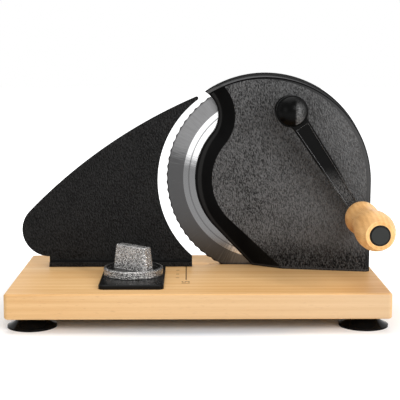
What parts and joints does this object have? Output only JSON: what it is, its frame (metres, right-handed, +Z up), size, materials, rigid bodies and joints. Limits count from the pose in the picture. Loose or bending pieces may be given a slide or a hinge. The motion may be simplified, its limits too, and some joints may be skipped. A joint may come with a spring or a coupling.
{
  "type": "hand-cranked bread slicer",
  "caption": "Hand-cranked bread slicer: serrated round blade in a cast housing on a beech board with suction feet, geared crank with wooden handle, and a fence set by a rack-and-pinion knob",
  "frame": {"origin": "on the table, under the middle of the beech board's footprint", "axes": "+X to the right seen from the crank side, +Y away from the crank side towards the loaf, +Z up"},
  "size_m": [0.3523, 0.2068, 0.2305],
  "materials": {
    "beech_board": "pale beech, oiled, fine straight grain along the length",
    "handle_wood": "turned pale beech, smooth",
    "black_rubber": "glossy black suction rubber",
    "black_plastic": "glossy black",
    "cap_plastic": "dark grey, satin",
    "housing_paint": "dark grey hammered paint, smooth black on the sloping band",
    "fence_paint": "black hammered paint",
    "crank_paint": "glossy black paint",
    "blade_steel": "polished stainless steel, fine circular grind",
    "zinc_steel": "bright zinc-plated steel",
    "knob_silver": "silver hammered casting, smooth dish",
    "bronze": "sintered bronze",
    "gear_plastic": "natural white nylon"
  },
  "bodies": {
    "base": {"base_board": "beech_board", "foot_front_left": "black_rubber", "foot_front_right": "black_rubber", "foot_rear_left": "black_rubber", "foot_rear_right": "black_rubber", "foot_screw_front_left": "zinc_steel", "foot_screw_front_right": "zinc_steel", "foot_screw_rear_left": "zinc_steel", "foot_screw_rear_right": "zinc_steel", "adjuster_cover": "black_plastic", "cover_screw_front_left": "zinc_steel", "cover_screw_front_right": "zinc_steel", "cover_screw_rear_left": "zinc_steel", "cover_screw_rear_right": "zinc_steel", "gear_housing": "housing_paint", "housing_screw_1": "zinc_steel", "housing_screw_2": "zinc_steel", "housing_screw_3": "zinc_steel", "blade_axle": "zinc_steel", "axle_washer": "zinc_steel", "axle_screw": "zinc_steel", "crank_bush": "bronze"},
    "fence": {"fence_plate": "fence_paint", "fence_slide": "zinc_steel", "fence_screw_left": "zinc_steel", "fence_screw_right": "zinc_steel"},
    "adjuster": {"thickness_knob": "knob_silver", "knob_spindle": "zinc_steel", "adjuster_pinion": "zinc_steel"},
    "blade": {"slicing_blade": "blade_steel", "blade_gear": "gear_plastic", "blade_bush": "bronze", "blade_clamp_plate": "zinc_steel", "blade_screw_1": "zinc_steel", "blade_screw_2": "zinc_steel", "blade_screw_3": "zinc_steel"},
    "crank": {"crank_shaft": "zinc_steel", "crank_pinion": "zinc_steel", "crank_arm": "crank_paint", "crank_cap": "crank_paint", "crank_washer": "zinc_steel", "handle_bolt": "zinc_steel"},
    "handle": {"handle_grip": "handle_wood", "handle_end_cap": "cap_plastic", "handle_sleeve": "zinc_steel"}
  },
  "joints": [
    {"name": "crank_spin", "type": "hinge", "parent": "base", "child": "crank", "pos_m": [0.09071, 0, 0.1944], "axis": [0, 1, 0], "continuous": true},
    {"name": "blade_spin", "type": "hinge", "parent": "base", "child": "blade", "pos_m": [0.068, 0, 0.1245], "axis": [0, 1, 0], "continuous": true},
    {"name": "handle_spin", "type": "hinge", "parent": "crank", "child": "handle", "pos_m": [0.15805, 0, 0.09267], "axis": [0, 1, 0], "continuous": true},
    {"name": "knob_turn", "type": "hinge", "parent": "base", "child": "adjuster", "pos_m": [-0.0615, -0.024, 0], "axis": [0, 0, 1], "range_deg": [-52.9, 42.7]},
    {"name": "fence_slide", "type": "slide", "parent": "base", "child": "fence", "axis": [0, 1, 0], "range_m": [-0.0083, 0.0067]}
  ],
  "couplings": [
    {"joint": "blade_spin", "follows": "crank_spin", "ratio": -0.4},
    {"joint": "knob_turn", "follows": "fence_slide", "rad_per_m": 111.11}
  ]
}
